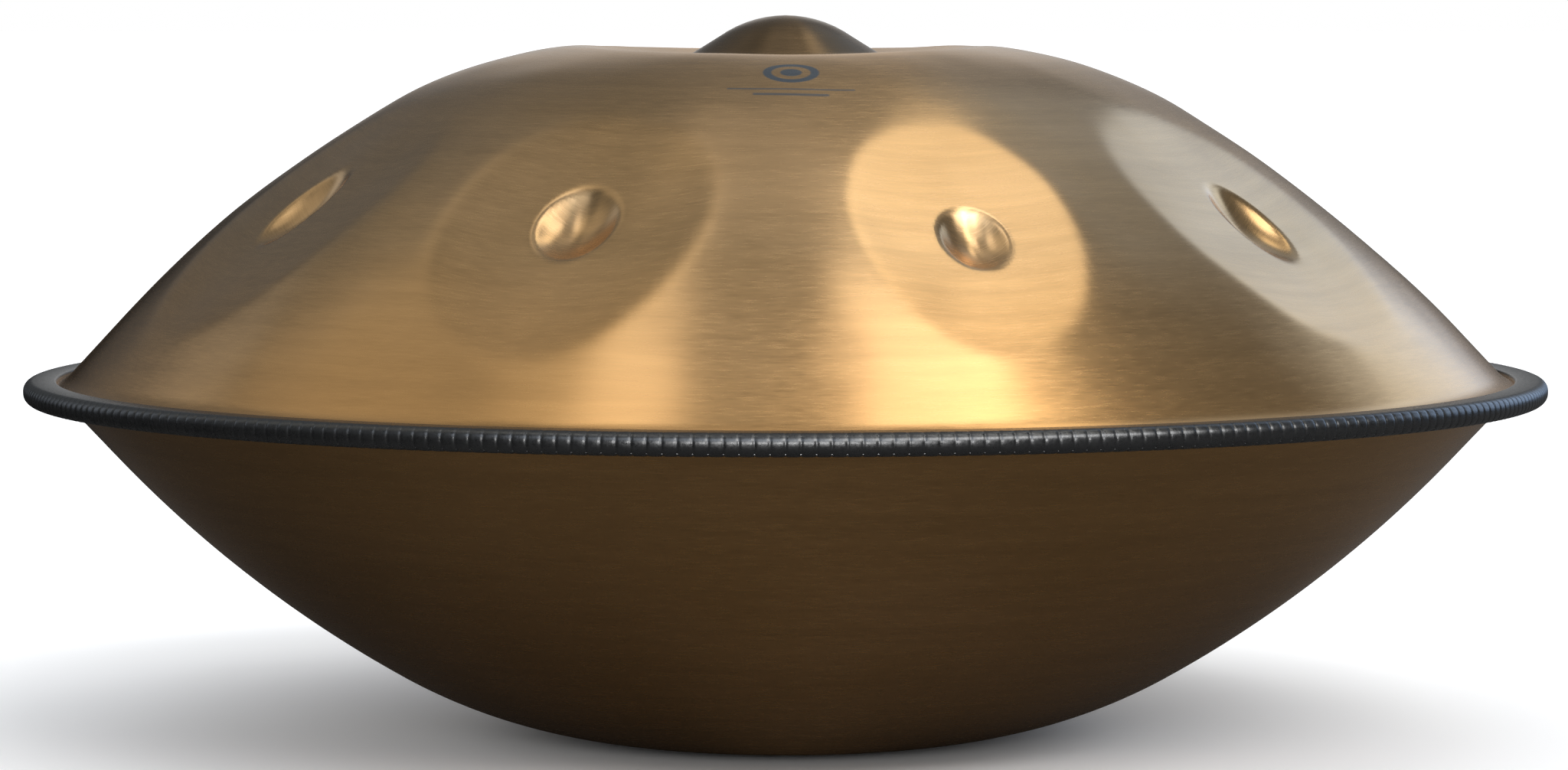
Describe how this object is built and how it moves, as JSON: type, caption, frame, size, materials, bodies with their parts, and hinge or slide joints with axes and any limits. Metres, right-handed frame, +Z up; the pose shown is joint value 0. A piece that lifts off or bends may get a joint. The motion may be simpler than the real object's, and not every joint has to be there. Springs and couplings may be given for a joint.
{
  "type": "handpan",
  "caption": "Handpan: two domed steel shells joined at a rim with edge trim, dimpled note fields round a central dome on top, and a sound port underneath.",
  "frame": {"origin": "on the vertical axis, at the surface the handpan stands on", "axes": "+Z up along the axis, from the port to the central dome; -Y towards the player's side, where the two highest notes are"},
  "size_m": [0.53, 0.53, 0.2522],
  "materials": {
    "top_shell": "gold heat tint, brushed round the axis",
    "bottom_shell": "gold heat tint, brushed round the axis",
    "adhesive": "cured epoxy",
    "edge_trim": "semi-matte black, finely ribbed",
    "trim_carrier": "plain rolled strip"
  },
  "bodies": {
    "root": {"top_shell": "top_shell", "bottom_shell": "bottom_shell", "seam_adhesive": "adhesive", "edge_trim": "edge_trim", "trim_carrier": "trim_carrier"}
  },
  "joints": []
}
